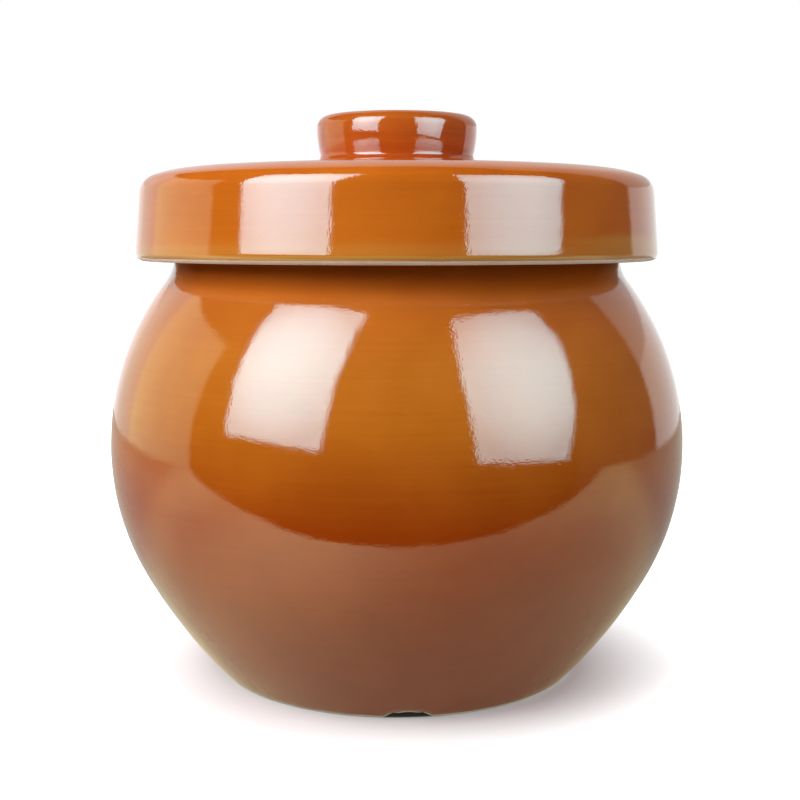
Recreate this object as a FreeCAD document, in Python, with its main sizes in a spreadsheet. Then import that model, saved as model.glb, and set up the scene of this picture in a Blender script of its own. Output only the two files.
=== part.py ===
import FreeCAD, Part
import math
import os
import re
import Sketcher

# Lidded stoneware fermenting crock: a thrown jar, a cap lid with a ring knob, a soft seal ring
# under the lid and two half-moon weights inside. Millimetres, +Z up, the origin at the centre
# of the foot, on the surface that the crock stands on.

os.makedirs("parts", exist_ok=True)
doc = FreeCAD.newDocument("CeramicCrock")

DIMENSIONS = {
    # Jar, outside. Three arcs make the side: shoulder, lower belly and the flatter wall below.
    # A hollow sweep leads from the shoulder up into the neck.
    "belly_radius": 141.5,
    "belly_height": 111.5,
    "shoulder_arc": 132.0,
    "lower_arc": 124.5,
    "wall_arc": 250.0,
    "wall_arc_top": 52.0,
    "neck_radius": 109.0,
    "neck_sweep": 20.0,
    "neck_base": 200.0,
    "rim_height": 232.0,
    "rim_rounding": 2.5,
    # Jar, inside and foot.
    "jar_wall": 8.0,
    "mouth_radius": 102.0,
    "floor_height": 14.0,
    "floor_fillet": 18.0,
    "throat_rounding": 8.0,
    "foot_rounding": 4.0,
    "foot_recess_radius": 77.0,
    "foot_recess_depth": 5.0,
    "foot_ring_rounding": 1.5,
    "foot_notch_width": 24.0,
    "foot_notch_height": 4.2,
    # Lid. Heights are measured from its lower edge.
    "lid_radius": 127.7,
    "lid_top_radius": 124.5,
    "lid_height": 48.0,
    "dome_arc": 1120.0,
    "dome_edge": 108.3,
    "lid_shoulder_arc": 39.0,
    "lid_corner": 9.0,
    "lip_rounding": 4.0,
    "lip_inner_rounding": 2.4,
    "skirt_wall": 8.1,
    "skirt_fillet": 5.0,
    "seat_height": 32.3,
    "crown_thickness": 9.0,
    "spigot_radius": 99.5,
    "spigot_wall": 7.0,
    "spigot_depth": 12.0,
    "spigot_rounding": 2.0,
    # Knob: a hollow ring whose side bellies out over a narrow waist. Heights are measured from
    # the top of the dome.
    "knob_foot_radius": 39.4,
    "knob_waist_radius": 37.4,
    "knob_waist_height": 2.0,
    "knob_side_arc": 50.0,
    "knob_radius": 38.8,
    "knob_height": 21.8,
    "knob_rounding": 6.0,
    "knob_lip_rounding": 2.5,
    "knob_bore_radius": 28.5,
    "knob_bore_foot": 26.0,
    # Seal: a flat ring on the rim with a collar that reaches down into the mouth.
    "seal_thickness": 3.0,
    "seal_radius": 107.5,
    "seal_gap": 0.3,
    "seal_collar_wall": 1.8,
    "seal_collar_depth": 6.0,
    "seal_rounding": 0.8,
    # Weights: two half discs with a half-round finger hole in each straight side.
    "weight_radius": 98.0,
    "weight_thickness": 22.0,
    "weight_rounding": 3.0,
    "weight_rest_height": 24.0,
    "weight_gap": 3.0,
    "finger_hole_radius": 14.0,
}

sheet = doc.addObject("Spreadsheet::Sheet", "Dimensions")
for row, (alias, size) in enumerate(DIMENSIONS.items(), start=1):
    sheet.set(f"A{row}", alias)
    sheet.set(f"B{row}", str(size))
    sheet.setAlias(f"B{row}", alias)
doc.recompute()

LINE = None          # a straight side of an outline
LEFT, RIGHT = 1, -1  # where an arc's centre lies, seen along the way from its start to its end
TOLERANCE = 1e-4


def bound(formula):
    """The formula, with each dimension's name pointing at its cell in the sheet."""
    def cell(word):
        return f"Dimensions.{word[0]}" if word[0] in DIMENSIONS else word[0]
    return re.sub(r"[a-z_]+", cell, formula)


def value(formula):
    """The number that the formula gives now."""
    return float(sheet.evalExpression(bound(formula)))


def add_body(label, height="0"):
    """A sub-part, standing at the height that the formula gives."""
    body = doc.addObject("PartDesign::Body", label)
    body.Label = label
    body.setExpression("Placement.Base.z", bound(height))
    return body


def add_sketch(body, name, role):
    """An empty sketch on one of the body's own origin planes."""
    sketch = body.newObject("Sketcher::SketchObject", name)
    plane = next(part for part in body.Origin.OriginFeatures if part.Role == role)
    sketch.AttachmentSupport = [(plane, "")]
    sketch.MapMode = "FlatFace"
    return sketch


def bind(sketch, constraint, formula):
    """Adds the constraint and binds its size to the formula."""
    index = sketch.addConstraint(constraint)
    sketch.setExpression(f"Constraints[{index}]", bound(formula))


def arc_between(start, end, radius, side):
    """The short arc from start to end with its centre on the given side."""
    chord = end - start
    middle = (start + end) * 0.5
    reach = math.sqrt(radius**2 - (chord.Length / 2) ** 2)
    centre = middle + FreeCAD.Vector(-chord.y, chord.x, 0).normalize() * reach * side
    first, last = (start, end) if side == LEFT else (end, start)
    angles = [math.atan2(point.y - centre.y, point.x - centre.x) for point in (first, last)]
    if angles[1] < angles[0]:
        angles[1] += 2 * math.pi
    circle = Part.Circle(centre, FreeCAD.Vector(0, 0, 1), radius)
    return Part.ArcOfCircle(circle, *angles)


def add_outline(sketch, corners):
    """A closed outline. Each corner is (x, y, side to the next corner), all of them formulas.

    A side is LINE or (radius, LEFT or RIGHT).
    """
    points = [FreeCAD.Vector(value(x), value(y), 0) for x, y, side in corners]
    ends = []
    for index, (x, y, side) in enumerate(corners):
        start, end = points[index], points[(index + 1) % len(points)]
        if side is LINE:
            geometry = sketch.addGeometry(Part.LineSegment(start, end))
            ends.append((geometry, 1, 2))
        else:
            radius, turn = side
            geometry = sketch.addGeometry(arc_between(start, end, value(radius), turn))
            bind(sketch, Sketcher.Constraint("Radius", geometry, value(radius)), radius)
            ends.append((geometry, 1, 2) if turn == LEFT else (geometry, 2, 1))
    for index, (x, y, side) in enumerate(corners):
        geometry, first, last = ends[index]
        before, before_first, before_last = ends[index - 1]
        joined = Sketcher.Constraint("Coincident", before, before_last, geometry, first)
        sketch.addConstraint(joined)
        for kind, formula, axis in (("DistanceX", x, -2), ("DistanceY", y, -1)):
            if formula == "0":
                sketch.addConstraint(Sketcher.Constraint("PointOnObject", geometry, first, axis))
            else:
                size = Sketcher.Constraint(kind, -1, 1, geometry, first, value(formula))
                bind(sketch, size, formula)


def add_disc(body, name, radius, below="0"):
    """A sketch of one circle on the body's axis, or below it by the height given."""
    role = "XY_Plane" if below == "0" else "XZ_Plane"
    sketch = add_sketch(body, name, role)
    centre = FreeCAD.Vector(0, -value(below), 0)
    circle = Part.Circle(centre, FreeCAD.Vector(0, 0, 1), value(radius))
    geometry = sketch.addGeometry(circle)
    bind(sketch, Sketcher.Constraint("Radius", geometry, value(radius)), radius)
    if below == "0":
        sketch.addConstraint(Sketcher.Constraint("Coincident", geometry, 3, -1, 1))
    else:
        sketch.addConstraint(Sketcher.Constraint("PointOnObject", geometry, 3, -2))
        bind(sketch, Sketcher.Constraint("DistanceY", geometry, 3, -1, 1, value(below)), below)
    return sketch


def turned(body, kind, name, corners, angle=360):
    """A Revolution, or a Groove, of the outline about the vertical axis."""
    sketch = add_sketch(body, f"{name}Outline", "XZ_Plane")
    add_outline(sketch, corners)
    feature = body.newObject(f"PartDesign::{kind}", name)
    feature.Profile = sketch
    feature.ReferenceAxis = (sketch, ["V_Axis"])
    feature.Angle = angle
    feature.Midplane = angle < 360
    doc.recompute()
    return feature


def circle_at(radius, height):
    """A test for the full circular edge of this radius at this height."""
    wanted_radius, wanted_height = value(radius), value(height)

    def test(edge):
        return (
            not edge.Degenerated
            and isinstance(edge.Curve, Part.Circle)
            and abs(edge.Curve.Radius - wanted_radius) < TOLERANCE
            and abs(edge.Curve.Center.z - wanted_height) < TOLERANCE
        )
    return test


def rounded(body, name, radius, tests):
    """A fillet on the edges of the body's last feature that the tests pick."""
    base = body.Tip
    picked = [
        f"Edge{number}"
        for number, edge in enumerate(base.Shape.Edges, start=1)
        if any(test(edge) for test in tests)
    ]
    if len(picked) < len(tests):
        raise RuntimeError(f"{name} finds {len(picked)} edges for {len(tests)} tests")
    fillet = body.newObject("PartDesign::Fillet", name)
    fillet.Base = (base, picked)
    fillet.setExpression("Radius", bound(radius))
    doc.recompute()
    return fillet


def check_cut(body, before, name):
    """Stops the build if the last cut took nothing away."""
    if body.Shape.Volume > before - 1:
        raise RuntimeError(f"{name} cuts nothing")


def on_arc(centre_x, centre_y, radius, height):
    """The x of the point at a height on the outer side of an arc."""
    return f"{centre_x} + sqrt(({radius})^2 - ({height} - {centre_y})^2)"


# --- Jar ---------------------------------------------------------------------------------

SHOULDER_X = "(belly_radius - shoulder_arc)"
LOWER_X = "(belly_radius - lower_arc)"
LOWER_DROP = "(belly_height - wall_arc_top)"
LOWER_REACH = f"sqrt(lower_arc^2 - {LOWER_DROP}^2)"
# The wall arc is tangent to the lower arc, so its centre lies on the same ray.
WALL_X = f"({LOWER_X} - (wall_arc - lower_arc) * {LOWER_REACH} / lower_arc)"
WALL_Y = f"(belly_height + (wall_arc - lower_arc) * {LOWER_DROP} / lower_arc)"
FOOT_EDGE = on_arc(WALL_X, WALL_Y, "wall_arc", "0")
# The sweep touches the shoulder arc from outside, so their centres are both radii apart.
SWEEP_X = "(neck_radius + neck_sweep)"
SWEEP_RISE = f"sqrt((shoulder_arc + neck_sweep)^2 - ({SWEEP_X} - {SHOULDER_X})^2)"
SWEEP_TOP = f"(belly_height + {SWEEP_RISE})"
SWEEP_SHARE = "shoulder_arc / (shoulder_arc + neck_sweep)"
NECK_FOOT = f"{SWEEP_X} - sqrt(neck_sweep^2 - ({SWEEP_TOP} - neck_base)^2)"


def shoulder_height(radius, arc):
    """The height at which the shoulder arc comes in to the given radius."""
    return f"belly_height + sqrt(({arc})^2 - ({radius} - {SHOULDER_X})^2)"


def make_crock_body():
    body = add_body("crock_body")
    turned(body, "Revolution", "Thrown", [
        ("0", "0", LINE),
        (FOOT_EDGE, "0", ("wall_arc", LEFT)),
        (f"{LOWER_X} + {LOWER_REACH}", "wall_arc_top", ("lower_arc", LEFT)),
        ("belly_radius", "belly_height", ("shoulder_arc", LEFT)),
        (
            f"{SHOULDER_X} + ({SWEEP_X} - {SHOULDER_X}) * {SWEEP_SHARE}",
            f"belly_height + {SWEEP_RISE} * {SWEEP_SHARE}",
            ("neck_sweep", RIGHT),
        ),
        (NECK_FOOT, "neck_base", LINE),
        ("0", "neck_base", LINE),
    ])

    # The hollow follows the outside at the wall's thickness, with the same arc centres.
    inner_shoulder = "shoulder_arc - jar_wall"
    inner_share = "(lower_arc - jar_wall) / lower_arc"
    inner_wall = "wall_arc - jar_wall"
    floor_edge = on_arc(WALL_X, WALL_Y, inner_wall, "floor_height")
    throat_height = shoulder_height("mouth_radius", inner_shoulder)
    before = body.Shape.Volume
    turned(body, "Groove", "Hollow", [
        ("0", "floor_height", LINE),
        (floor_edge, "floor_height", (inner_wall, LEFT)),
        (
            f"{LOWER_X} + {LOWER_REACH} * {inner_share}",
            f"belly_height - {LOWER_DROP} * {inner_share}",
            ("lower_arc - jar_wall", LEFT),
        ),
        ("belly_radius - jar_wall", "belly_height", (inner_shoulder, LEFT)),
        ("mouth_radius", throat_height, LINE),
        ("mouth_radius", "neck_base", LINE),
        ("0", "neck_base", LINE),
    ])
    check_cut(body, before, "Hollow")

    before = body.Shape.Volume
    recess = body.newObject("PartDesign::Pocket", "FootRecess")
    recess.Profile = add_disc(body, "FootRecessCircle", "foot_recess_radius")
    recess.setExpression("Length", bound("foot_recess_depth"))
    recess.Reversed = True
    doc.recompute()
    check_cut(body, before, "FootRecess")

    rounded(body, "FloorFillet", "floor_fillet", [circle_at(floor_edge, "floor_height")])
    rounded(body, "ThroatRounding", "throat_rounding", [circle_at("mouth_radius", throat_height)])
    rounded(body, "FootRounding", "foot_rounding", [circle_at(FOOT_EDGE, "0")])
    rounded(body, "FootRingRounding", "foot_ring_rounding", [
        circle_at("foot_recess_radius", "0"),
        circle_at("foot_recess_radius", "foot_recess_depth"),
    ])

    # A shallow arched notch through the front of the foot ring lets air and water out.
    arch = "((foot_notch_width / 2)^2 + foot_notch_height^2) / (2 * foot_notch_height)"
    before = body.Shape.Volume
    notch = body.newObject("PartDesign::Pocket", "FootNotch")
    notch.Profile = add_disc(body, "FootNotchArch", arch, f"{arch} - foot_notch_height")
    notch.Type = "ThroughAll"
    notch.Reversed = True
    doc.recompute()
    check_cut(body, before, "FootNotch")
    return body


def make_crock_neck():
    """The upright collar that the lid covers. It was thrown apart and stuck on the shoulder."""
    body = add_body("crock_neck", "neck_base")
    height = "rim_height - neck_base"
    turned(body, "Revolution", "Collar", [
        ("mouth_radius", "0", LINE),
        (NECK_FOOT, "0", ("neck_sweep", RIGHT)),
        ("neck_radius", f"{SWEEP_TOP} - neck_base", LINE),
        ("neck_radius", height, LINE),
        ("mouth_radius", height, LINE),
    ])
    rounded(body, "RimRounding", "rim_rounding", [
        circle_at("neck_radius", height),
        circle_at("mouth_radius", height),
    ])
    return body


# --- Lid ---------------------------------------------------------------------------------

LID_LEVEL = "rim_height + seal_thickness - seat_height"
DOME_TOP = f"{LID_LEVEL} + lid_height"
SPIGOT_LEVEL = "rim_height + seal_thickness - spigot_depth"
SPIGOT_BORE = "spigot_radius - spigot_wall"


def dome_drop(radius, arc="dome_arc"):
    """How far a dome has fallen below its top at the given radius."""
    return f"({arc} - sqrt(({arc})^2 - ({radius})^2))"


def make_lid_shell():
    body = add_body("lid_shell", LID_LEVEL)
    # The shoulder arc leaves the dome in the dome's own direction.
    shoulder_x = "dome_edge * (1 - lid_shoulder_arc / dome_arc)"
    shoulder_y = (
        "lid_height - dome_arc + (dome_arc - lid_shoulder_arc) * sqrt(1 - (dome_edge / dome_arc)^2)"
    )
    corner = f"{shoulder_y} + sqrt(lid_shoulder_arc^2 - (lid_top_radius - {shoulder_x})^2)"
    skirt = "lid_radius - skirt_wall"
    crown_arc = "dome_arc - crown_thickness"
    ceiling = "lid_height - crown_thickness"
    turned(body, "Revolution", "Cap", [
        ("0", ceiling, (crown_arc, RIGHT)),
        (SPIGOT_BORE, f"{ceiling} - {dome_drop(SPIGOT_BORE, crown_arc)}", LINE),
        (SPIGOT_BORE, "seat_height", LINE),
        (skirt, "seat_height", LINE),
        (skirt, "0", LINE),
        ("lid_radius", "0", LINE),
        ("lid_top_radius", corner, ("lid_shoulder_arc", LEFT)),
        ("dome_edge", f"lid_height - {dome_drop('dome_edge')}", ("dome_arc", LEFT)),
        ("0", "lid_height", LINE),
    ])
    rounded(body, "CornerRounding", "lid_corner", [circle_at("lid_top_radius", corner)])
    rounded(body, "LipRounding", "lip_rounding", [circle_at("lid_radius", "0")])
    rounded(body, "LipInnerRounding", "lip_inner_rounding", [circle_at(skirt, "0")])
    rounded(body, "SkirtFillet", "skirt_fillet", [circle_at(skirt, "seat_height")])
    return body


def make_lid_locating_ring():
    """The ring under the lid that keeps it centred on the mouth. It hangs from the seat."""
    body = add_body("lid_locating_ring", SPIGOT_LEVEL)
    turned(body, "Revolution", "Spigot", [
        (SPIGOT_BORE, "0", LINE),
        ("spigot_radius", "0", LINE),
        ("spigot_radius", "spigot_depth", LINE),
        (SPIGOT_BORE, "spigot_depth", LINE),
    ])
    rounded(body, "SpigotRounding", "spigot_rounding", [
        circle_at("spigot_radius", "0"),
        circle_at(SPIGOT_BORE, "0"),
    ])
    return body


def make_lid_knob():
    """The knob was thrown apart and stuck on: its underside is the dome's own surface."""
    body = add_body("lid_knob", DOME_TOP)
    turned(body, "Revolution", "Ring", [
        ("knob_bore_foot", f"-1 * {dome_drop('knob_bore_foot')}", ("dome_arc", RIGHT)),
        ("knob_foot_radius", f"-1 * {dome_drop('knob_foot_radius')}", LINE),
        ("knob_waist_radius", "knob_waist_height", ("knob_side_arc", LEFT)),
        ("knob_radius", "knob_height", LINE),
        ("knob_bore_radius", "knob_height", LINE),
    ])
    rounded(body, "WaistFillet", "knob_lip_rounding", [
        circle_at("knob_waist_radius", "knob_waist_height"),
    ])
    rounded(body, "GripRounding", "knob_rounding", [circle_at("knob_radius", "knob_height")])
    rounded(body, "BoreRounding", "knob_lip_rounding", [
        circle_at("knob_bore_radius", "knob_height"),
    ])
    return body


def make_lid_seal_ring():
    """Silicone: the flat ring lies on the rim and the collar keeps it centred in the mouth."""
    body = add_body("lid_seal_ring", "rim_height")
    bore = "spigot_radius + seal_gap"
    collar = f"{bore} + seal_collar_wall"
    turned(body, "Revolution", "Seal", [
        (bore, "-1 * seal_collar_depth", LINE),
        (collar, "-1 * seal_collar_depth", LINE),
        (collar, "0", LINE),
        ("seal_radius", "0", LINE),
        ("seal_radius", "seal_thickness", LINE),
        (bore, "seal_thickness", LINE),
    ])
    rounded(body, "SealRounding", "seal_rounding", [
        circle_at("seal_radius", "0"),
        circle_at("seal_radius", "seal_thickness"),
    ])
    return body


# --- Weights -----------------------------------------------------------------------------

def make_weight(label, heading):
    """A half disc whose round side points along the heading, in degrees from +X."""
    body = add_body(label, "weight_rest_height")
    turned(body, "Revolution", "HalfDisc", [
        ("0", "0", LINE),
        ("weight_radius", "0", LINE),
        ("weight_radius", "weight_thickness", LINE),
        ("0", "weight_thickness", LINE),
    ], angle=180)
    before = body.Shape.Volume
    hole = body.newObject("PartDesign::Pocket", "FingerHole")
    hole.Profile = add_disc(body, "FingerHoleCircle", "finger_hole_radius")
    hole.Type = "ThroughAll"
    hole.Reversed = True
    doc.recompute()
    check_cut(body, before, "FingerHole")
    rounded(body, "WeightRounding", "weight_rounding", [lambda edge: edge.Length > TOLERANCE])
    turn = FreeCAD.Rotation(FreeCAD.Vector(0, 0, 1), heading)
    body.Placement.Rotation = turn
    side = turn.multVec(FreeCAD.Vector(1, 0, 0))
    body.setExpression("Placement.Base.x", bound(f"weight_gap / 2 * {round(side.x)}"))
    return body


sub_parts = [
    make_crock_body(),
    make_crock_neck(),
    make_lid_shell(),
    make_lid_locating_ring(),
    make_lid_knob(),
    make_lid_seal_ring(),
    make_weight("weight_left", 180),
    make_weight("weight_right", 0),
]
doc.recompute()

for item in doc.Objects:
    if {"Invalid", "Error"} & set(item.State):
        raise RuntimeError(f"{item.Label} failed: {item.State}")
for sub_part in sub_parts:
    if sub_part.Shape.isNull() or not sub_part.Shape.isValid():
        raise RuntimeError(f"{sub_part.Label} has no valid shape")
for sub_part in sub_parts:
    sub_part.Shape.exportStep(f"parts/{sub_part.Label}.step")
    box = sub_part.Shape.optimalBoundingBox()
    print(
        f"{sub_part.Label:14} radius {box.XMax:7.2f}  height {box.ZMin:7.2f} to {box.ZMax:7.2f}"
        f"  volume {sub_part.Shape.Volume / 1000:8.1f} cm3  solids {len(sub_part.Shape.Solids)}"
    )
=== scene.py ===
import math

import bmesh
import bpy
import numpy as np
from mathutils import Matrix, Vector


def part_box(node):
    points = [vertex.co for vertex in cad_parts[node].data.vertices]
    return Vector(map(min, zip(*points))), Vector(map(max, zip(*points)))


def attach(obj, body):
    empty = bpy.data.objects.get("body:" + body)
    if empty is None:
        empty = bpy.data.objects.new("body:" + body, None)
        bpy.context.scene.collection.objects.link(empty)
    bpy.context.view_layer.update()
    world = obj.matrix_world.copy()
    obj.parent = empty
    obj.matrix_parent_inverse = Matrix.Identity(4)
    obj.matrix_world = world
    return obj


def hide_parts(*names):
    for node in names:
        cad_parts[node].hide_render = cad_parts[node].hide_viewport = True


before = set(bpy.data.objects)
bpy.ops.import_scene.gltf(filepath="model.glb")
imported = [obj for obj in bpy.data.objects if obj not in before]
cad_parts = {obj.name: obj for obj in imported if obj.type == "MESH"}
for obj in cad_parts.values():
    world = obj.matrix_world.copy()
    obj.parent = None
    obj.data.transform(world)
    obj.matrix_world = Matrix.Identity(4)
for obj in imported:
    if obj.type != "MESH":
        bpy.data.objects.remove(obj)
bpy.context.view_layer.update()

MM = 0.001
TAU = 2 * math.pi

# --- Shape, in millimetres ----------------------------------------------------------------
# The pieces are the CAD sub-parts turned again as dense, smooth, slightly uneven pottery.
# Sizes of round shapes are radii.

CROCK_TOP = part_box("crock_neck")[1].z / MM
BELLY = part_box("crock_body")[1].x / MM
LID_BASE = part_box("lid_shell")[0].z / MM
LID_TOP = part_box("lid_shell")[1].z / MM
KNOB_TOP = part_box("lid_knob")[1].z / MM
SEAL_BASE, SEAL_TOP = (corner.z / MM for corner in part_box("lid_seal_ring"))
WEIGHT_BASE, WEIGHT_TOP = (corner.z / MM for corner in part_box("weight_right"))
WEIGHT_NEAR, WEIGHT_FAR = (corner.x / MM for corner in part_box("weight_right"))
FINGER_HOLE = 14.0
WEIGHT_ROUNDING = 3.0

BELLY_HEIGHT = 111.5
SHOULDER_ARC = 132.0
LOWER_ARC = 124.5
WALL_ARC = 250.0
WALL_ARC_TOP = 52.0
NECK = 109.0
NECK_SWEEP = 20.0
MOUTH = 102.0
WALL = 8.0
FLOOR = 14.0
FOOT_RECESS = 77.0
FOOT_RECESS_DEPTH = 5.0
NOTCH_WIDTH = 24.0
NOTCH_HEIGHT = 4.2
NOTCH_ARC = ((NOTCH_WIDTH / 2) ** 2 + NOTCH_HEIGHT**2) / (2 * NOTCH_HEIGHT)

LID = 127.7
LID_UPPER = 124.5
SKIRT_WALL = 8.1
SEAT = 32.3
DOME_ARC = 1120.0
DOME_EDGE = 108.3
LID_SHOULDER_ARC = 39.0
CROWN = 9.0
SPIGOT = 99.5
SPIGOT_WALL = 7.0
SPIGOT_DEPTH = 12.0
SEAL_PLAY = 0.3
SEAL_COLLAR = 1.8

KNOB = 38.8
KNOB_FOOT = 39.4
KNOB_WAIST = 37.4
KNOB_WAIST_RISE = 2.0
KNOB_SIDE_ARC = 50.0
KNOB_HOLLOW_FLOOR = 26.0
KNOB_HOLLOW_TOP = 28.5

FINE = 0.25    # the step along an outline before it is thinned out
LINE = None    # a straight side of an outline
LEFT, RIGHT = 1, -1


def arc_points(start, end, radius, side):
    """The short arc from start to end with its centre to the left or right of the way."""
    chord = end - start
    length = np.linalg.norm(chord)
    normal = np.array([-chord[1], chord[0]]) / length
    reach = math.sqrt(max(0.0, radius**2 - (length / 2) ** 2))
    centre = (start + end) / 2 + normal * side * reach
    first, last = (math.atan2(*(point - centre)[::-1]) for point in (start, end))
    sweep = (last - first) * side % TAU * side
    count = max(2, int(abs(sweep) * radius / FINE) + 1)
    angles = first + np.linspace(0, sweep, count)
    return centre + radius * np.stack([np.cos(angles), np.sin(angles)], axis=1)


def line_points(start, end):
    count = max(2, int(np.linalg.norm(end - start) / FINE) + 1)
    return start + np.linspace(0, 1, count)[:, None] * (end - start)


def lengths_along(points):
    steps = np.linalg.norm(np.diff(points, axis=0), axis=1)
    return np.concatenate([[0], np.cumsum(steps)])


def spaced(points, step):
    """The same path with evenly spaced points about a step apart."""
    along = lengths_along(points)
    wanted = np.linspace(0, along[-1], max(2, int(round(along[-1] / step)) + 1))
    return np.stack([np.interp(wanted, along, points[:, k]) for k in (0, 1)], axis=1)


def nearest_on(path, point):
    """The place on the path nearest to a point: its distance and its length along."""
    start, step = path[:-1], np.diff(path, axis=0)
    share = np.einsum("ij,ij->i", point - start, step) / np.einsum("ij,ij->i", step, step)
    foot = start + np.clip(share, 0, 1)[:, None] * step
    distance = np.linalg.norm(foot - point, axis=1)
    best = int(distance.argmin())
    return distance[best], lengths_along(path)[best] + np.linalg.norm(foot[best] - start[best])


def cut_at(path, along):
    """The part of the path from the given length on."""
    all_along = lengths_along(path)
    corner = [np.interp(along, all_along, path[:, k]) for k in (0, 1)]
    return np.vstack([corner, path[all_along > along + 1e-6]])


def roll_corner(before, after, radius):
    """Rounds the corner between two paths: the shortened paths and the arc between them."""
    back = before[::-1]
    way_in, way_out = before[-1] - before[-2], after[1] - after[0]
    turn = np.sign(way_in[0] * way_out[1] - way_in[1] * way_out[0])
    along = lengths_along(back)

    def place(reach):
        return np.array([np.interp(reach, along, back[:, k]) for k in (0, 1)])

    def centre(reach):
        tangent = place(reach - FINE / 2) - place(reach + FINE / 2)
        normal = np.array([-tangent[1], tangent[0]]) / np.linalg.norm(tangent) * turn
        return place(reach) + normal * radius

    near, far = 0.0, along[-1] - FINE
    for _ in range(30):
        middle = (near + far) / 2
        if nearest_on(after, centre(middle))[0] < radius:
            near = middle
        else:
            far = middle
    after_start = nearest_on(after, centre(far))[1]
    before, after = cut_at(back, far)[::-1], cut_at(after, after_start)
    return before, arc_points(before[-1], after[0], radius, turn), after


def outline(corners, step, round_step=0.6, closed=False):
    """Dense (radius, height) points of an outline.

    Each corner is (radius, height, rounding, side to the next corner), and a side is LINE or
    (arc radius, LEFT or RIGHT). An open outline starts and ends on the axis.
    """
    places = [np.array(corner[:2], float) for corner in corners]
    count = len(corners) if closed else len(corners) - 1
    sides = []
    for index in range(count):
        start, end = places[index], places[(index + 1) % len(corners)]
        side = corners[index][3]
        sides.append(line_points(start, end) if side is LINE else arc_points(start, end, *side))
    rounds = {}
    for index in range(0 if closed else 1, count):
        rounding = corners[index][2]
        if rounding:
            result = roll_corner(sides[index - 1], sides[index], rounding)
            sides[index - 1], rounds[index], sides[index] = result
    points = []
    for index in range(count):
        if index in rounds:
            points.append(spaced(rounds[index], round_step)[:-1])
        points.append(spaced(sides[index], step)[:-1])
    if not closed:
        points.append(sides[-1][-1:])
    return np.vstack(points)


def add_object(name, data):
    thing = bpy.data.objects.new(name, data)
    bpy.context.scene.collection.objects.link(thing)
    return thing


def even_angles(count):
    return np.linspace(0, TAU, count, endpoint=False)


def lathe(name, points, angles, warp=None, closed=False):
    """Turns an outline in millimetres about the Z axis into a smooth mesh in metres."""
    radius, height = points[:, 0][:, None], points[:, 1][:, None]
    turn = angles[None, :]
    radius, height = np.broadcast_arrays(radius, height + 0 * turn)
    if warp is not None:
        radius, height = warp(radius, height, turn)
    rings = np.stack([radius * np.cos(turn), radius * np.sin(turn), height], axis=2) * MM
    rows, columns = rings.shape[:2]
    vertices, faces, start_of = [], [], []
    for row in range(rows):
        start_of.append(len(vertices))
        on_axis = not closed and row in (0, rows - 1)
        vertices.extend([rings[row].mean(axis=0)] if on_axis else rings[row])
    for row in range(rows if closed else rows - 1):
        low, high = start_of[row], start_of[(row + 1) % rows]
        for column in range(columns):
            after = (column + 1) % columns
            if not closed and row == 0:
                faces.append((low, high + after, high + column))
            elif not closed and row == rows - 2:
                faces.append((low + column, low + after, high))
            else:
                faces.append((low + column, low + after, high + after, high + column))
    mesh = bpy.data.meshes.new(name)
    mesh.from_pydata([tuple(vertex) for vertex in vertices], [], faces)
    mesh.polygons.foreach_set("use_smooth", [True] * len(mesh.polygons))
    mesh.update()
    return add_object(name, mesh)


# --- Crock ---------------------------------------------------------------------------------

SHOULDER_X = BELLY - SHOULDER_ARC
LOWER_X = BELLY - LOWER_ARC
LOWER_DROP = BELLY_HEIGHT - WALL_ARC_TOP
LOWER_REACH = math.sqrt(LOWER_ARC**2 - LOWER_DROP**2)
WALL_X = LOWER_X - (WALL_ARC - LOWER_ARC) * LOWER_REACH / LOWER_ARC
WALL_Y = BELLY_HEIGHT + (WALL_ARC - LOWER_ARC) * LOWER_DROP / LOWER_ARC


def wall_radius(arc, height):
    return WALL_X + math.sqrt(arc**2 - (WALL_Y - height) ** 2)


def shoulder_height(radius, arc):
    return BELLY_HEIGHT + math.sqrt(arc**2 - (radius - SHOULDER_X) ** 2)


def crock_outline():
    sweep_x = NECK + NECK_SWEEP - SHOULDER_X
    sweep_rise = math.sqrt((SHOULDER_ARC + NECK_SWEEP) ** 2 - sweep_x**2)
    sweep_share = SHOULDER_ARC / (SHOULDER_ARC + NECK_SWEEP)
    inner_share = (LOWER_ARC - WALL) / LOWER_ARC
    inner_shoulder = SHOULDER_ARC - WALL
    return outline([
        (0, FOOT_RECESS_DEPTH, 0, LINE),
        (FOOT_RECESS, FOOT_RECESS_DEPTH, 1.5, LINE),
        (FOOT_RECESS, 0, 1.5, LINE),
        (wall_radius(WALL_ARC, 0), 0, 4.0, (WALL_ARC, LEFT)),
        (LOWER_X + LOWER_REACH, WALL_ARC_TOP, 0, (LOWER_ARC, LEFT)),
        (BELLY, BELLY_HEIGHT, 0, (SHOULDER_ARC, LEFT)),
        (
            SHOULDER_X + sweep_x * sweep_share,
            BELLY_HEIGHT + sweep_rise * sweep_share,
            0,
            (NECK_SWEEP, RIGHT),
        ),
        (NECK, BELLY_HEIGHT + sweep_rise, 0, LINE),
        (NECK, CROCK_TOP, 2.5, LINE),
        (MOUTH, CROCK_TOP, 2.5, LINE),
        (MOUTH, shoulder_height(MOUTH, inner_shoulder), 8.0, (inner_shoulder, RIGHT)),
        (BELLY - WALL, BELLY_HEIGHT, 0, (LOWER_ARC - WALL, RIGHT)),
        (
            LOWER_X + LOWER_REACH * inner_share,
            BELLY_HEIGHT - LOWER_DROP * inner_share,
            0,
            (WALL_ARC - WALL, RIGHT),
        ),
        (wall_radius(WALL_ARC - WALL, FLOOR), FLOOR, 18.0, LINE),
        (0, FLOOR, 0, LINE),
    ], step=3.4)


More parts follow.
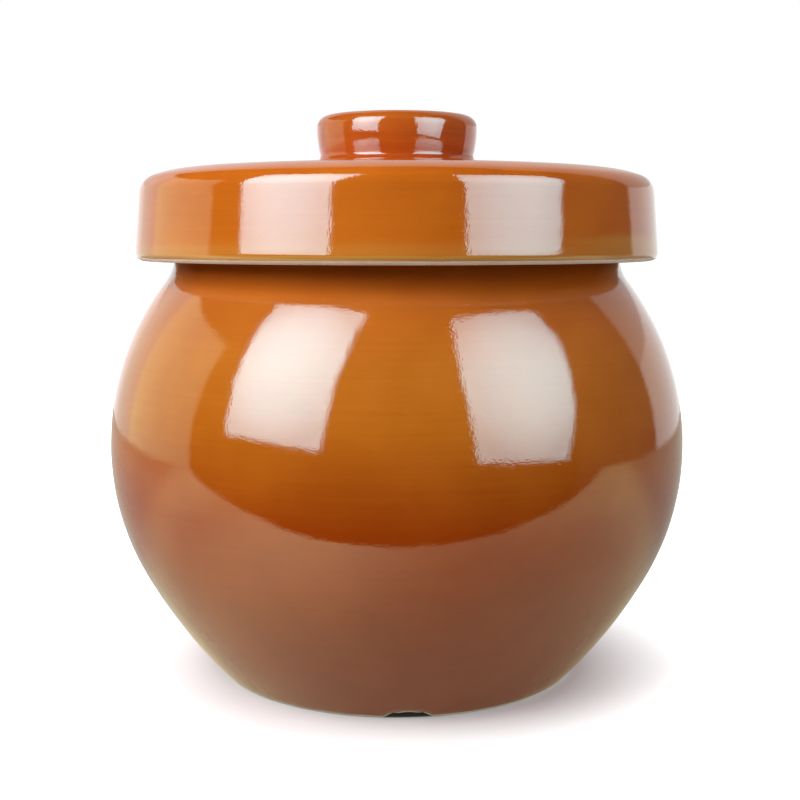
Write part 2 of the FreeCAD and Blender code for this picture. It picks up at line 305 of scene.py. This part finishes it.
def notched_angles():
    """Even angles, closer together round the notch at the front of the foot."""
    front, reach, fine_count, coarse_count = -TAU / 4, math.radians(9), 44, 270
    near = front + np.linspace(-reach, reach, fine_count, endpoint=False)
    far = front + reach + np.linspace(0, TAU - 2 * reach, coarse_count, endpoint=False)
    return np.concatenate([near, far])


def smooth_step(low, high, value):
    share = np.clip((value - low) / (high - low), 0, 1)
    return share * share * (3 - 2 * share)


def crock_warp(radius, height, turn):
    """Throwing rings and a slight oval between foot and neck, and the notch in the foot ring."""
    free = smooth_step(6, 30, height) * (1 - smooth_step(185, 200, height))
    rings = 0.010 * np.sin(TAU * height / 9.0 + turn) + 0.025 * np.sin(TAU * height / 23.0 - turn)
    oval = -0.12 * (1 + np.sin(2 * turn + height / 60))
    moved = radius + free * (rings + oval)
    across = radius * np.cos(turn)
    inside = (np.abs(across) < NOTCH_WIDTH / 2) & (np.sin(turn) < 0) & (radius > FOOT_RECESS - 2)
    arch = np.sqrt(np.maximum(NOTCH_ARC**2 - across**2, 0)) - NOTCH_ARC + NOTCH_HEIGHT
    lifted = np.where(inside, np.maximum(height, arch), height)
    return moved, lifted


# --- Lid, knob, seal and weights -------------------------------------------------------------

def dome_height(radius, arc, top):
    return top - arc + math.sqrt(arc**2 - radius**2)


def lid_outline():
    skirt = LID - SKIRT_WALL
    bore = SPIGOT - SPIGOT_WALL
    seat = LID_BASE + SEAT
    ceiling = LID_TOP - CROWN
    shoulder_x = DOME_EDGE * (1 - LID_SHOULDER_ARC / DOME_ARC)
    rise = math.sqrt(1 - (DOME_EDGE / DOME_ARC) ** 2)
    shoulder_y = LID_TOP - DOME_ARC + (DOME_ARC - LID_SHOULDER_ARC) * rise
    corner = shoulder_y + math.sqrt(LID_SHOULDER_ARC**2 - (LID_UPPER - shoulder_x) ** 2)
    return outline([
        (0, ceiling, 0, (DOME_ARC - CROWN, RIGHT)),
        (bore, dome_height(bore, DOME_ARC - CROWN, ceiling), 1.5, LINE),
        (bore, seat - SPIGOT_DEPTH, 2.0, LINE),
        (SPIGOT, seat - SPIGOT_DEPTH, 2.0, LINE),
        (SPIGOT, seat, 0.5, LINE),
        (skirt, seat, 5.0, LINE),
        (skirt, LID_BASE, 2.4, LINE),
        (LID, LID_BASE, 4.0, LINE),
        (LID_UPPER, corner, 9.0, (LID_SHOULDER_ARC, LEFT)),
        (DOME_EDGE, dome_height(DOME_EDGE, DOME_ARC, LID_TOP), 0, (DOME_ARC, LEFT)),
        (0, LID_TOP, 0, LINE),
    ], step=2.6)


def lid_warp(radius, height, turn):
    """Turning rings and a slightly uneven width on the skirt's outside."""
    outside = smooth_step(LID - 6, LID - 3, radius)
    rings = 0.010 * np.sin(TAU * height / 7.0 - turn) - 0.06 * (1 + np.sin(3 * turn))
    return radius + outside * rings, height


def knob_outline():
    return outline([
        (KNOB_HOLLOW_FLOOR, dome_height(KNOB_HOLLOW_FLOOR, DOME_ARC, LID_TOP), 0, (DOME_ARC, RIGHT)),
        (KNOB_FOOT, dome_height(KNOB_FOOT, DOME_ARC, LID_TOP), 0, LINE),
        (KNOB_WAIST, LID_TOP + KNOB_WAIST_RISE, 2.5, (KNOB_SIDE_ARC, LEFT)),
        (KNOB, KNOB_TOP, 6.0, LINE),
        (KNOB_HOLLOW_TOP, KNOB_TOP, 2.5, LINE),
    ], step=0.8, round_step=0.4, closed=True)


def seal_outline():
    bore = SPIGOT + SEAL_PLAY
    collar = bore + SEAL_COLLAR
    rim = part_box("lid_seal_ring")[1].x / MM
    return outline([
        (bore, SEAL_BASE, 0.3, LINE),
        (collar, SEAL_BASE, 0.3, LINE),
        (collar, CROCK_TOP, 0.3, LINE),
        (rim, CROCK_TOP, 0.8, LINE),
        (rim, SEAL_TOP, 0.8, LINE),
        (bore, SEAL_TOP, 0.3, LINE),
    ], step=0.7, round_step=0.25, closed=True)


def weight_plan(side):
    """The half disc's plan: a straight side with half of the finger hole, and the round side."""
    rounds = (
        (WEIGHT_FAR - WEIGHT_NEAR, np.linspace(-TAU / 4, TAU / 4, 121)),
        (FINGER_HOLE, np.linspace(TAU / 4, -TAU / 4, 33)),
    )
    return [(side * (WEIGHT_NEAR + radius * math.cos(turn)), radius * math.sin(turn))
            for radius, turns in rounds for turn in turns]


def weight_mesh(name, side):
    """A half disc cast in stoneware: rounded edges and slightly uneven faces."""
    plan = weight_plan(side)
    mesh = bpy.data.meshes.new(name)
    shape = bmesh.new()
    bottom = shape.faces.new([shape.verts.new((x * MM, y * MM, WEIGHT_BASE * MM)) for x, y in plan])
    grown = bmesh.ops.extrude_face_region(shape, geom=[bottom])["geom"]
    lift = (0, 0, (WEIGHT_TOP - WEIGHT_BASE) * MM)
    bmesh.ops.translate(shape, verts=[v for v in grown if isinstance(v, bmesh.types.BMVert)], vec=lift)
    bmesh.ops.recalc_face_normals(shape, faces=shape.faces)
    shape.to_mesh(mesh)
    shape.free()
    piece = add_object(name, mesh)
    rounding = piece.modifiers.new("rounding", "BEVEL")
    rounding.width = WEIGHT_ROUNDING * MM
    rounding.segments = 4
    rounding.angle_limit = math.radians(50)
    skin = piece.modifiers.new("skin", "REMESH")
    skin.mode = "VOXEL"
    skin.voxel_size = 1.3 * MM
    skin.use_smooth_shade = True
    smooth = piece.modifiers.new("smooth", "SMOOTH")
    smooth.factor = 0.5
    smooth.iterations = 4
    ready = piece.evaluated_get(bpy.context.evaluated_depsgraph_get())
    piece.data = bpy.data.meshes.new_from_object(ready)
    piece.modifiers.clear()
    return piece


# --- Materials -----------------------------------------------------------------------------

class Nodes:
    """An emptied node tree, the coordinates that it starts from and short calls for its nodes."""

    def __init__(self, tree, coordinates):
        self.tree = tree
        self.tree.nodes.clear()
        self.place = self.add("TexCoord").outputs[coordinates]
        axes = self.add("SeparateXYZ", {"Vector": self.place})
        self.x, self.y, self.z = (axes.outputs[k] for k in "XYZ")

    def add(self, kind, inputs=None, **settings):
        """A node; an input given as another node's socket is linked, and any other is set."""
        made = self.tree.nodes.new("ShaderNode" + kind)
        for key, value in settings.items():
            setattr(made, key, value)
        for key, value in (inputs or {}).items():
            if isinstance(value, bpy.types.NodeSocket):
                self.tree.links.new(value, made.inputs[key])
            else:
                made.inputs[key].default_value = value
        return made

    def maths(self, operation, first, second=0.0):
        return self.add("Math", {0: first, 1: second}, operation=operation).outputs[0]

    def length(self, first, second):
        """The long side of a right triangle that has these as its other two."""
        squares = (self.maths("MULTIPLY", side, side) for side in (first, second))
        return self.maths("POWER", self.maths("ADD", *squares), 0.5)

    def weighted_sum(self, parts):
        """The values of (value, weight) pairs, each times its weight, added up."""
        first, *others = (self.maths("MULTIPLY", value, weight) for value, weight in parts)
        total = first
        for other in others:
            total = self.maths("ADD", total, other)
        return total

    def remap(self, value, low, high, at_low=0.0, at_high=1.0):
        """A straight way from at_low, where the value is low, to at_high, level past both ends."""
        inputs = {"Value": value, "From Min": low, "From Max": high, "To Min": at_low, "To Max": at_high}
        return self.add("MapRange", inputs).outputs["Result"]


class Shader(Nodes):
    """A material and the nodes that it is built from. Places are in metres."""

    def __init__(self, name):
        self.material = bpy.data.materials.new(name)
        self.material.use_nodes = True
        super().__init__(self.material.node_tree, "Object")
        self.radius = self.length(self.x, self.y)

    def noise(self, scale, detail=2.0, stretch=(1, 1, 1)):
        """Noise from 0 to 1 with about scale features a metre, closer together where stretched."""
        place = self.add("VectorMath", {0: self.place, 1: stretch}, operation="MULTIPLY").outputs[0]
        return self.add("TexNoise", {"Vector": place, "Scale": scale, "Detail": detail}).outputs["Fac"]

    def spots(self, scale, size, share):
        """1 inside small round spots: a share of the cells, scale of them a metre, has one."""
        cells = self.add("TexVoronoi", {"Vector": self.place, "Scale": scale})
        chosen = self.add("SeparateColor", {"Color": cells.outputs["Color"]}).outputs[0]
        inside = self.between(cells.outputs["Distance"], size * scale, 0.5 * size * scale)
        return self.maths("MULTIPLY", inside, self.maths("LESS_THAN", chosen, share))

    def between(self, value, low, high):
        """0 at low and 1 at high, with a smooth way between; high may be the smaller."""
        inputs = {"Value": value, "From Min": low, "From Max": high}
        return self.add("MapRange", inputs, interpolation_type="SMOOTHSTEP").outputs["Result"]

    def mix(self, share, first, second):
        """The second colour where share is 1."""
        inputs = {"Factor": share}
        for key, colour in ((6, first), (7, second)):
            inputs[key] = colour if isinstance(colour, bpy.types.NodeSocket) else (*colour, 1)
        return self.add("Mix", inputs, data_type="RGBA").outputs[2]

    def ramp(self, value, stops):
        """A colour that follows the value through (value, colour) stops between 0 and 1."""
        made = self.add("ValToRGB", {"Fac": value})
        elements = made.color_ramp.elements
        while len(elements) < len(stops):
            elements.new(0.5)
        for element, (position, colour) in zip(elements, stops):
            element.position = position
            element.color = (*colour, 1)
        return made.outputs["Color"]

    def bump(self, height, depth, below=None):
        """Bumps as deep as the height, from 0 to 1, times the depth in metres."""
        inputs = {"Height": height, "Distance": depth, "Strength": 1.0}
        if below is not None:
            inputs["Normal"] = below
        return self.add("Bump", inputs).outputs["Normal"]

    def finish(self, surface):
        """The material, with the surface given as a socket."""
        self.add("OutputMaterial", {"Surface": surface})
        return self.material

    def principled(self, inputs):
        return self.finish(self.add("BsdfPrincipled", inputs).outputs["BSDF"])


CLAY = (0.90, 0.83, 0.70)
CLAY_DARK = (0.76, 0.66, 0.52)
CLAY_ROUGHNESS = 0.72
OCHRE = (0.56, 0.27, 0.050)
IRON_SPECK = (0.05, 0.018, 0.006)
PALE_SPECK = (0.62, 0.42, 0.22)
GLAZE_IOR = 1.52


def clay_colour(shader):
    """Fired cream stoneware with fine grog."""
    tone = shader.weighted_sum(((shader.noise(900, 3), 0.6), (shader.noise(60, 3), 0.5)))
    return shader.mix(shader.between(tone, 0.35, 0.8), CLAY_DARK, CLAY)


def glazed(name, thick, thin, heights, edge, bare, streaky=1.0):
    """Glossy amber glaze over stoneware.

    thick and thin are the glaze's colours where it is deep and where it is drawn thin, each a list
    of stops up the heights (low, high); on the crock the stops also hold painted shade. edge and
    bare are functions of the shader: edge gives 1 where the glaze thins to ochre, and bare gives 1
    where there is none. streaky is how strong the streaks round the piece are.
    """
    shader = Shader(name)
    level = shader.remap(shader.z, *heights)
    streaks = shader.noise(1, 4, (16, 16, 620))
    fine_streaks = shader.noise(1, 2, (60, 60, 2400))
    mottle = shader.noise(38, 5)
    cloud = shader.noise(9, 3)
    parts = ((streaks, 0.55 * streaky), (fine_streaks, 0.30 * streaky), (mottle, 0.55), (cloud, 0.60))
    tone = shader.weighted_sum(parts)
    middle = sum(weight for _, weight in parts) / 2
    deep, drawn = shader.ramp(level, thick), shader.ramp(level, thin)
    colour = shader.mix(shader.between(tone, middle - 0.30, middle + 0.30), deep, drawn)
    colour = shader.mix(edge(shader), colour, OCHRE)
    colour = shader.mix(shader.spots(34, 0.0006, 0.10), colour, IRON_SPECK)
    colour = shader.mix(shader.spots(29, 0.0005, 0.05), colour, PALE_SPECK)
    unglazed = bare(shader)
    colour = shader.mix(unglazed, colour, clay_colour(shader))
    gloss = shader.remap(shader.noise(90, 3), 0.3, 0.7, 0.035, 0.06)
    rough = {"Factor": unglazed, 2: gloss, 3: CLAY_ROUGHNESS}
    roughness = shader.add("Mix", rough, data_type="FLOAT").outputs[0]
    peel = shader.bump(shader.noise(1250, 0), 0.000020)
    peel = shader.bump(shader.noise(170, 2), 0.000026, peel)
    peel = shader.bump(streaks, 0.000003, peel)
    peel = shader.bump(shader.spots(24, 0.0007, 0.12), -0.00010, peel)
    grain = shader.bump(shader.maths("MULTIPLY", shader.noise(1400, 3), unglazed), 0.00012, peel)
    return shader.principled({
        "Base Color": colour, "Roughness": roughness, "Normal": grain, "IOR": GLAZE_IOR,
    })


def nowhere(shader):
    """For a piece that has no such part."""
    return 0.0


def wavy(shader, height, wave):
    """A height that wanders up and down by the wave. Both are given in millimetres."""
    drift = shader.maths("MULTIPLY", shader.maths("SUBTRACT", shader.noise(45, 3), 0.5), 2 * wave * MM)
    return shader.maths("ADD", drift, height * MM)


def below(shader, height, soft):
    """1 up to a height in metres, and from there falling to 0 over a soft distance in millimetres."""
    over = shader.maths("SUBTRACT", shader.z, height)
    return shader.between(over, soft * MM, 0.0)


def crock_bare(shader):
    """The foot ring, the foot's recess and a line round the notch stay unglazed."""
    foot = below(shader, wavy(shader, 1.3, 0.3), 0.3)
    recess = shader.maths("MULTIPLY", below(shader, (FOOT_RECESS_DEPTH + 1) * MM, 0.1),
                          shader.between(shader.radius, (FOOT_RECESS + 2) * MM, (FOOT_RECESS + 1) * MM))
    up = shader.maths("ADD", shader.z, (NOTCH_ARC - NOTCH_HEIGHT) * MM)
    reach = shader.length(shader.x, up)
    notch = shader.maths("MULTIPLY", shader.between(reach, (NOTCH_ARC + 0.8) * MM, (NOTCH_ARC + 0.5) * MM),
                         shader.between(shader.y, 0.0, -0.01))
    return shader.maths("MAXIMUM", shader.maths("MAXIMUM", foot, recess), notch)


def crock_edge(shader):
    """A faint ochre line where the glaze ends at the foot."""
    return shader.maths("MULTIPLY", below(shader, wavy(shader, 1.4, 0.4), 0.8), 0.4)


def lid_bare(shader):
    """The lid stands on its lip in the kiln, so the lip has no glaze."""
    return below(shader, wavy(shader, LID_BASE + 1.5, 0.25), 0.2)


def lid_edge(shader):
    """A mustard band over the bare lip, a darker line between them, and more ochre on the right."""
    band = below(shader, wavy(shader, LID_BASE + 3.3, 0.8), 0.8)
    fade = below(shader, wavy(shader, LID_BASE + 5.0, 1.5), 6.0)
    line = below(shader, wavy(shader, LID_BASE + 2.1, 0.3), 0.5)
    without_line = shader.maths("SUBTRACT", 0.90, shader.maths("MULTIPLY", line, 0.6))
    band = shader.maths("MULTIPLY", band, without_line)
    right = shader.between(shader.x, 0.045, 0.105)
    pooled = shader.maths("MULTIPLY", right, below(shader, wavy(shader, LID_BASE + 9.0, 2.5), 5.0))
    for part, weight in ((fade, 0.30), (pooled, 0.62)):
        band = shader.maths("MAXIMUM", band, shader.maths("MULTIPLY", part, weight))
    return band


def crock_material():
    return glazed(
        "amber_glaze",
        # Darker and redder below the belly: painted shade on the lower belly, and deeper glaze. A little
        # darker again at the top of the neck: painted shade under the lid, and glaze run deeper.
        thick=(
            (0.0, (0.290, 0.024, 0.0008)), (0.30, (0.300, 0.036, 0.0008)), (0.48, (0.305, 0.038, 0.0008)),
            (0.68, (0.425, 0.105, 0.0055)), (0.80, (0.432, 0.116, 0.0085)),
            (0.955, (0.440, 0.102, 0.0100)), (1.0, (0.350, 0.072, 0.0060)),
        ),
        thin=(
            (0.0, (0.360, 0.036, 0.0016)), (0.30, (0.370, 0.054, 0.0016)), (0.48, (0.375, 0.058, 0.0018)),
            (0.68, (0.515, 0.150, 0.0100)), (0.80, (0.520, 0.158, 0.0140)),
            (0.955, (0.510, 0.132, 0.0140)), (1.0, (0.420, 0.092, 0.0085)),
        ),
        heights=(0.0, 0.20), edge=crock_edge, bare=crock_bare, streaky=0.5)


def lid_material():
    return glazed(
        "lid_amber_glaze",
        thick=((0.0, (0.47, 0.105, 0.0050)), (1.0, (0.43, 0.085, 0.0042))),
        thin=((0.0, (0.57, 0.150, 0.0100)), (1.0, (0.54, 0.130, 0.0085))),
        heights=(LID_BASE * MM, LID_TOP * MM), edge=lid_edge, bare=lid_bare, streaky=0.45)


def knob_material():
    return glazed(
        "red_amber_glaze",
        thick=((0.0, (0.34, 0.046, 0.0055)), (1.0, (0.39, 0.076, 0.0080))),
        thin=((0.0, (0.43, 0.074, 0.0090)), (1.0, (0.48, 0.118, 0.0120))),
        heights=(LID_TOP * MM, KNOB_TOP * MM), edge=nowhere, bare=nowhere)


def silicone_material():
    shader = Shader("milky_silicone")
    cloud = shader.noise(70, 3)
    colour = shader.mix(shader.between(cloud, 0.3, 0.7), (0.66, 0.64, 0.58), (0.74, 0.73, 0.68))
    roughness = shader.remap(shader.noise(300, 3), 0, 1, 0.30, 0.48)
    skin = shader.bump(shader.noise(900, 2), 0.00003)
    return shader.principled({"Base Color": colour, "Roughness": roughness, "Normal": skin, "IOR": 1.41})


def stoneware_material():
    shader = Shader("bare_stoneware")
    colour = shader.mix(shader.spots(160, 0.0006, 0.35), clay_colour(shader), (0.20, 0.12, 0.07))
    roughness = shader.remap(shader.noise(500, 3), 0, 1, 0.62, 0.85)
    skin = shader.bump(shader.noise(1300, 4), 0.00012)
    skin = shader.bump(shader.noise(90, 3), 0.00035, skin)
    return shader.principled({"Base Color": colour, "Roughness": roughness, "Normal": skin, "IOR": 1.5})


# --- Pieces --------------------------------------------------------------------------------

stoneware = stoneware_material()
for piece, body, nodes, slot_name, material in (
    (lathe("crock_thrown", crock_outline(), notched_angles(), crock_warp),
     "crock", ("crock_body", "crock_neck"), "crock_glaze", crock_material()),
    (lathe("lid_thrown", lid_outline(), even_angles(330), lid_warp),
     "lid", ("lid_shell", "lid_locating_ring"), "lid_glaze", lid_material()),
    (lathe("knob_thrown", knob_outline(), even_angles(240), closed=True),
     "lid", ("lid_knob",), "knob_glaze", knob_material()),
    (lathe("seal_moulded", seal_outline(), even_angles(300), closed=True),
     "seal", ("lid_seal_ring",), "seal_silicone", silicone_material()),
    (weight_mesh("weight_cast_left", -1), "weight_left", ("weight_left",), "bare_stoneware", stoneware),
    (weight_mesh("weight_cast_right", 1), "weight_right", ("weight_right",), "bare_stoneware", stoneware),
):
    piece.data.materials.clear()
    piece.data.materials.append(material)
    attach(piece, body)
    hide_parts(*nodes)


# --- Studio --------------------------------------------------------------------------------
# Places are in metres in the camera's own heading, X to the right of the view and Y away from the
# camera, until turned() brings them to the row frame. Materials read the row frame.

HEADING = math.radians(-3.2)
CAMERA_DISTANCE = 0.6357
CAMERA_HEIGHT = 0.2143
CAMERA_RIGHT = 0.0015
CAMERA_DIP = math.radians(7.34)
LENS = 57.2
AIM_HEIGHT = 0.12    # the height that the soft lights point at
SHELL = 1.3          # how far away the walls of the studio stand
ROOM = 0.03          # what the dark room gives back
GREY_SIDE = 0.62     # how bright the backdrop is on the camera's side
FRONT_GLOW = 0.56    # the floor's own glow far in front of the crock
BACK_GLOW = 0.9      # and everywhere else
SOFTBOX_TINT = (0.58, 0.92, 1.0)
EDGE_LEVELS = (-1.0, -0.6, 0.0, 0.5, 1.0)    # where a softbox's side reaches are given, bottom to top
POOL = (-0.16, -0.24, 0.0)                   # the middle of the pool of light on the table
WHITE = (1.0, 1.0, 1.0)


def turned(point):
    """A point of the studio in the row frame."""
    x, y, z = point
    cosine, sine = math.cos(HEADING), math.sin(HEADING)
    return Vector((cosine * x - sine * y, sine * x + cosine * y, z))


def around(azimuth, distance, height):
    """The point at an azimuth in degrees to the right of the way to the camera."""
    turn = math.radians(azimuth)
    return (distance * math.sin(turn), -distance * math.cos(turn), height)


def only_seen_by(thing, kind):
    """Hides a thing from every kind of ray but one."""
    for ray in ("camera", "diffuse", "glossy", "transmission", "volume_scatter", "shadow"):
        setattr(thing, "visible_" + ray, ray == kind)


def stage_mesh(name, points, faces, material):
    mesh = bpy.data.meshes.new(name)
    mesh.from_pydata([turned(point) for point in points], [], faces)
    mesh.materials.append(material)
    thing = add_object(name, mesh)
    return thing


def glowing(name, colour, strength):
    """A material that only shines; strength is a number or a function of its shader."""
    shader = Shader(name)
    level = strength(shader) if callable(strength) else strength
    light = shader.add("Emission", {"Color": (*colour, 1), "Strength": level})
    return shader.finish(light.outputs[0])


def shine_at(u, v):
    """How bright a softbox is, as a share of its middle, at u across and v up, each from -1 to 1."""
    return 1 - 0.48 * min(1.0, (0.75 * u) ** 2 + v**2) + 0.10 * smooth_step(0.86, 0.94, abs(u))


def softbox(name, azimuth, distance, height, tilt, yaw, roll, width, tall, bright, left_side, right_side):
    """A soft light that shows only as the reflection in glaze, bright in the middle.

    It faces the crock, then leans by tilt, turns by yaw and rolls, all in degrees. left_side and
    right_side say how far each side bellies out, at the levels of EDGE_LEVELS.
    """
    tilt, face, roll = math.radians(tilt), math.radians(azimuth + yaw), math.radians(roll)
    across = np.array([math.cos(face), math.sin(face), 0.0])
    inward = -np.array([
        math.sin(face) * math.cos(tilt), -math.cos(face) * math.cos(tilt), math.sin(tilt)])
    up = np.cross(across, -inward)
    up = up * np.sign(up[2])
    right = across * math.cos(roll) + up * math.sin(roll)
    top = up * math.cos(roll) - across * math.sin(roll)
    middle = np.array(around(azimuth, distance, height))
    rows, columns = 24, 16
    points, shine = [], []
    for row in range(rows + 1):
        v = -1 + 2 * row / rows
        for column in range(columns + 1):
            u = -1 + 2 * column / columns
            reach = np.interp(v, EDGE_LEVELS, left_side if u < 0 else right_side)
            points.append(middle + right * u * reach * width / 2 + top * v * tall / 2)
            shine.append(bright * shine_at(u, v))
    faces = []
    for row in range(rows):
        for column in range(columns):
            first = row * (columns + 1) + column
            faces.append((first, first + 1, first + columns + 2, first + columns + 1))

    def strength(shader):
        return shader.add("Attribute", attribute_name="shine").outputs["Fac"]

    panel = stage_mesh(name, points, faces, glowing(name + "_glow", SOFTBOX_TINT, strength))
    panel.data.attributes.new("shine", "FLOAT", "POINT").data.foreach_set("value", shine)
    only_seen_by(panel, "glossy")


def wall(name, first, last, low, high, colour, bright):
    """A curved wall of the studio from one azimuth to another that shows only in the glaze."""
    columns = max(2, int(abs(last - first) / 3))
    points = []
    for azimuth in np.linspace(first, last, columns + 1):
        points += [around(azimuth, SHELL, low), around(azimuth, SHELL, high)]
    faces = [(2 * k, 2 * k + 2, 2 * k + 3, 2 * k + 1) for k in range(columns)]
    thing = stage_mesh(name, points, faces, glowing(name + "_glow", colour, bright))
    only_seen_by(thing, "glossy")


def soft_light(name, azimuth, distance, height, size, watts):
    """A soft light on the pieces and the floor that doesn't show in the glaze."""
    data = bpy.data.lights.new(name, "AREA")
    data.shape = "SQUARE"
    data.size = size
    data.energy = watts
    light = add_object(name, data)
    place = turned(around(azimuth, distance, height))
    light.location = place
    light.rotation_euler = (Vector((0, 0, AIM_HEIGHT)) - place).to_track_quat("-Z", "Y").to_euler()
    light.visible_camera = False
    light.visible_glossy = False


def make_world():
    """White behind the crock, grey on the camera's side, a soft fill and a dark room in the glaze."""
    world = bpy.data.worlds.new("studio")
    bpy.context.scene.world = world
    world.use_nodes = True
    nodes = Nodes(world.node_tree, "Generated")

    def background(colour, strength):
        return nodes.add("Background", {"Color": (*colour, 1), "Strength": strength}).outputs[0]

    fill = background((0.95, 0.97, 1.0), nodes.remap(nodes.z, -1.0, 0.6, 0.24, 0.46))
    white = background(WHITE, nodes.remap(nodes.y, -0.3, 0.3, GREY_SIDE, 1.0))
    room = background((1.0, 0.97, 0.93), ROOM)
    path = nodes.add("LightPath").outputs
    in_glaze = nodes.add("MixShader", {0: path["Is Glossy Ray"], 1: fill, 2: room}).outputs[0]
    in_view = nodes.add("MixShader", {0: path["Is Camera Ray"], 1: in_glaze, 2: white}).outputs[0]
    nodes.add("OutputWorld", {"Surface": in_view})


def paper_material(name, colour, glow, glow_colour=WHITE):
    """Matt paper with a glow of its own; colour and glow are functions of the shader."""
    shader = Shader(name)
    paper = shader.add("BsdfDiffuse", {"Color": colour(shader)})
    shine = shader.add("Emission", {"Color": (*glow_colour, 1), "Strength": glow(shader)})
    both = shader.add("AddShader", {0: paper.outputs[0], 1: shine.outputs[0]})
    return shader.finish(both.outputs[0])


def floor_colour(shader):
    """White, and dark under the foot, where no light comes."""
    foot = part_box("crock_body")[1].x - (BELLY - wall_radius(WALL_ARC, 0)) * MM
    under = shader.between(shader.radius, foot, foot - 0.002)
    return shader.mix(under, (0.88, 0.88, 0.88), (0.05, 0.03, 0.02))


def floor_glow(shader):
    """None close to the crock, where its shadow lies, growing to white, and less in front."""
    near = shader.between(shader.radius, 0.078, 0.19)
    level = shader.remap(shader.between(shader.y, -0.7, -0.45), 0, 1, FRONT_GLOW, BACK_GLOW)
    return shader.maths("MULTIPLY", near, level)


def table_colour(shader):
    """Warm white in front, dimmer behind the crock."""
    return shader.mix(shader.between(shader.y, -0.02, 0.12), (0.95, 0.95, 0.64), (0.55, 0.56, 0.48))


def table_glow(shader):
    """A pool of light in front of the crock on its left, and a weaker one out to both sides."""
    gap = shader.add("VectorMath", {0: shader.place, 1: POOL}, operation="DISTANCE").outputs["Value"]
    pool = shader.maths("MULTIPLY", shader.between(gap, 0.22, 0.03), 1.5)
    beyond = shader.maths("MULTIPLY", shader.between(shader.radius, 0.22, 0.46), 0.5)
    front = shader.between(shader.y, 0.05, -0.08)
    return shader.maths("ADD", pool, shader.maths("MULTIPLY", beyond, front))


def make_floor():
    """The floor that the camera sees, and the table top whose front edge shows in the glaze."""
    far = 12.0
    floor = stage_mesh("floor", [(-far, -far, 0), (far, -far, 0), (far, far, 0), (-far, far, 0)],
                       [(0, 1, 2, 3)], paper_material("white_floor", floor_colour, floor_glow))
    only_seen_by(floor, "camera")
    right_edge = [(0.25, -0.28, 0), (0.6, -0.24, 0), (1.2, -0.22, 0), (1.2, 1.1, 0)]
    left_edge = [(-x, y, z) for x, y, z in reversed(right_edge)]
    table = stage_mesh("table", left_edge + right_edge, [tuple(range(8))],
                       paper_material("white_table", table_colour, table_glow, (1.0, 0.88, 0.46)))
    only_seen_by(table, "glossy")


def make_camera():
    data = bpy.data.cameras.new("camera")
    data.lens = LENS
    camera = add_object("camera", data)
    camera.location = turned((CAMERA_RIGHT, -CAMERA_DISTANCE, CAMERA_HEIGHT))
    camera.rotation_euler = (TAU / 4 - CAMERA_DIP, 0, HEADING)
    bpy.context.scene.camera = camera


make_world()
make_floor()
make_camera()
softbox("softbox_left", azimuth=-48.0, distance=0.90, height=0.748, tilt=18.3, yaw=18.9, roll=-4.4,
        width=0.766, tall=1.088, bright=18.0,
        left_side=(0.97, 0.95, 1.0, 1.0, 1.0), right_side=(1.0, 1.0, 1.0, 1.0, 1.0))
softbox("softbox_right", azimuth=51.5, distance=0.90, height=0.624, tilt=14.8, yaw=-11.8, roll=-3.8,
        width=0.70, tall=1.034, bright=12.8,
        left_side=(1.02, 1.08, 1.14, 1.08, 0.97), right_side=(0.80, 0.98, 1.14, 1.24, 1.02))
wall("screen_far", -141.0, -122.0, -0.15, 0.95, (0.80, 1.0, 0.95), 1.15)
wall("screen_left", -122.0, -80.5, -0.15, 0.95, (0.80, 0.92, 0.62), 1.75)
wall("screen_edge", -82.3, -80.5, -0.15, 0.95, (1.0, 1.0, 0.95), 3.6)
wall("backdrop", 114.0, 219.0, -0.3, 0.42, (0.96, 1.0, 1.0), 1.25)
wall("backdrop_high", 114.0, 186.0, 0.42, 3.0, (0.97, 1.0, 1.0), 0.74)
wall("backdrop_high_left", 186.0, 219.0, 0.42, 3.0, (0.97, 1.0, 1.0), 0.86)
wall("room_right", 68.0, 114.0, -0.15, 1.5, (1.0, 0.8, 1.0), 0.12)
soft_light("key_left", azimuth=-48, distance=0.95, height=0.75, size=0.8, watts=12.0)
soft_light("fill_right", azimuth=52, distance=0.95, height=0.65, size=0.8, watts=2.1)
soft_light("back_left", azimuth=-145, distance=1.1, height=0.9, size=1.0, watts=5.0)
soft_light("back_right", azimuth=150, distance=1.1, height=0.9, size=1.0, watts=5.0)
bpy.context.scene.view_settings.view_transform = "Standard"
